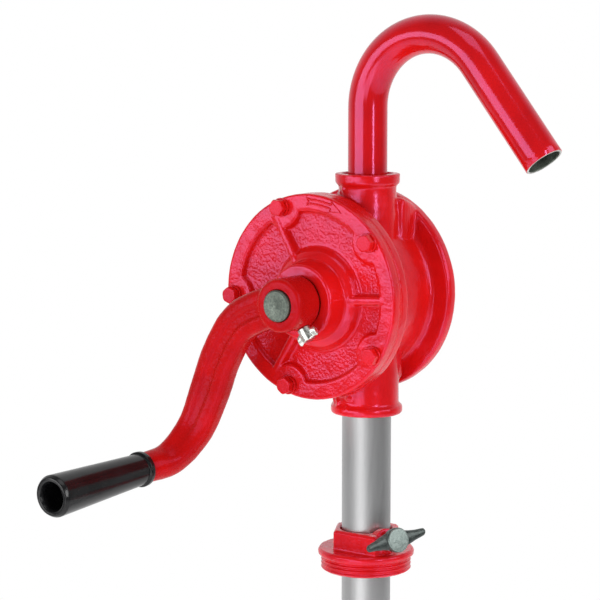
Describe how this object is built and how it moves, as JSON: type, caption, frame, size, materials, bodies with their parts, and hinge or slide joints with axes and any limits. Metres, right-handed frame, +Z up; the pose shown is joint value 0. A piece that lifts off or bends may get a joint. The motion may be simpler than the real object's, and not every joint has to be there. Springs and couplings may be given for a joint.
{
  "type": "rotary drum pump",
  "caption": "Hand-cranked rotary vane pump on a long suction tube, with a bent spout, a crank with a free-turning grip and a threaded bung adaptor with a clamp screw.",
  "frame": {"origin": "on the suction tube's axis, at the underside of the bung adaptor's rim, where the rim meets the drum", "axes": "+Z up along the suction tube, -Y towards the crank's grip, +X the way the spout points"},
  "size_m": [0.2579, 0.2259, 1.2161],
  "materials": {
    "red_casting": "gloss",
    "red_pipe": "gloss",
    "red_fastener": "gloss",
    "shaft_steel": "satin",
    "tube_steel": "satin",
    "zinc_steel": "satin",
    "black_steel": "satin",
    "iron": "satin",
    "bronze": "satin",
    "vane_resin": "satin",
    "black_rubber": "matte",
    "gasket_sheet": "matte",
    "black_plastic": "gloss",
    "foot_plastic": "matte"
  },
  "bodies": {
    "bung": {"bung_adaptor": "red_casting"},
    "seal": {"bung_seal_ring": "black_rubber"},
    "pump": {"pump_body": "red_casting", "front_cover": "red_casting", "cover_gasket": "gasket_sheet", "rear_bush": "bronze", "front_bush": "bronze", "packing_ring_1": "black_rubber", "packing_ring_2": "black_rubber", "gland_ring": "bronze", "spout_seal": "black_rubber", "suction_tube_upper": "tube_steel", "tube_coupling_1": "tube_steel", "suction_tube_middle": "tube_steel", "tube_coupling_2": "tube_steel", "suction_tube_lower": "tube_steel", "foot_strainer": "foot_plastic", "cover_bolt_1": "red_fastener", "cover_bolt_2": "red_fastener", "cover_bolt_3": "red_fastener", "cover_bolt_4": "red_fastener", "cover_bolt_5": "red_fastener", "bolt_washer_1": "red_fastener", "bolt_washer_2": "red_fastener", "bolt_washer_3": "red_fastener", "bolt_washer_4": "red_fastener", "bolt_washer_5": "red_fastener"},
    "crank": {"rotor_shaft": "shaft_steel", "rotor": "iron", "rotor_key": "shaft_steel", "crank_arm": "red_casting", "grip_spindle": "zinc_steel", "grip_retainer": "zinc_steel", "vane_spring_upper": "zinc_steel", "vane_spring_lower": "zinc_steel"},
    "vane_a": {"vane_upper": "vane_resin"},
    "vane_b": {"vane_lower": "vane_resin"},
    "grip": {"grip": "black_plastic"},
    "spout": {"spout_pipe": "red_pipe"},
    "bung_screw": {"bung_wing_screw": "black_steel"},
    "crank_screw": {"crank_wing_screw": "zinc_steel"}
  },
  "joints": [
    {"name": "pump_swivel", "type": "hinge", "parent": "bung", "child": "seal", "pos_m": [0, 0, 0], "axis": [0, 0, 1], "continuous": true},
    {"name": "pump_height", "type": "slide", "parent": "seal", "child": "pump", "axis": [0, 0, 1], "range_m": [-0.065, 0.175]},
    {"name": "crank_spin", "type": "hinge", "parent": "pump", "child": "crank", "pos_m": [-0.0146, 0, 0.172], "axis": [0, 1, 0], "continuous": true},
    {"name": "grip_spin", "type": "hinge", "parent": "crank", "child": "grip", "pos_m": [-0.1027, -0.1056, 0.0615], "axis": [0, -0.9994, -0.0349], "continuous": true},
    {"name": "spout_swivel", "type": "hinge", "parent": "pump", "child": "spout", "pos_m": [0, 0, 0.2506], "axis": [0, 0, 1], "range_deg": [-15, 195]},
    {"name": "vane_a_slide", "type": "slide", "parent": "crank", "child": "vane_a", "axis": [0, 0, 1], "range_m": [-0.004, 0], "stiffness_N_per_m": 300, "springref_m": 0.004, "deforming": ["vane_spring_upper"]},
    {"name": "vane_b_slide", "type": "slide", "parent": "crank", "child": "vane_b", "axis": [0, 0, -1], "range_m": [-0.004, 0], "stiffness_N_per_m": 300, "springref_m": 0.004, "deforming": ["vane_spring_lower"]},
    {"name": "bung_screw_turn", "type": "hinge", "parent": "bung", "child": "bung_screw", "pos_m": [0, 0, 0.0062], "axis": [0.8891, -0.3774, 0.2588], "range_deg": [0, 720]},
    {"name": "crank_screw_turn", "type": "hinge", "parent": "crank", "child": "crank_screw", "pos_m": [-0.0146, -0.064, 0.172], "axis": [0.5822, 0, -0.8131], "range_deg": [0, 720]}
  ]
}
